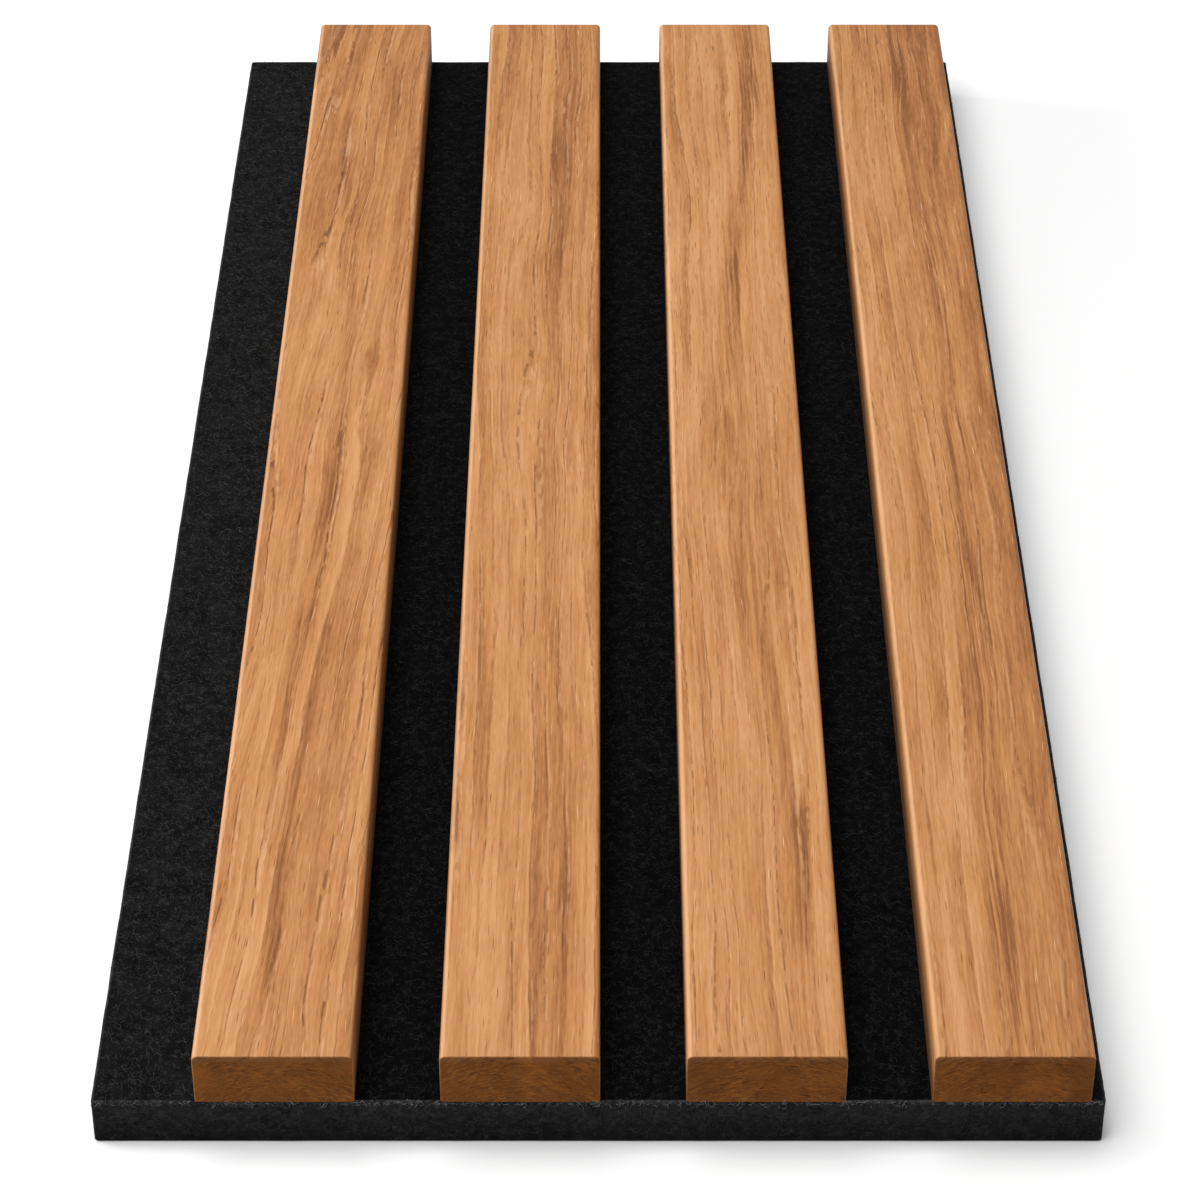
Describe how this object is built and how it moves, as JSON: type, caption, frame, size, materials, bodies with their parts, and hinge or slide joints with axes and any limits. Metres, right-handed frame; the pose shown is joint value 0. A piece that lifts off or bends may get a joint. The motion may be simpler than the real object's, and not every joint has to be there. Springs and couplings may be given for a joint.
{
  "type": "slatted acoustic wall panel",
  "caption": "Flat rectangular wall panel: parallel solid oak slats with rounded front edges, bonded in spaced rows to a stiff black felt board with a bare lip along one side.",
  "frame": {"origin": "middle of the felt board's back face, the face that meets the wall", "axes": "+X across the slats, from the wide bare lip to the narrow one; +Y along the slats; +Z out of the wall, from the felt to the slats"},
  "size_m": [0.165, 0.35, 0.019],
  "materials": {
    "felt": "matte",
    "oak": "satin"
  },
  "bodies": {
    "root": {"felt_backing": "felt", "slat_1": "oak", "slat_2": "oak", "slat_3": "oak", "slat_4": "oak"}
  },
  "joints": []
}
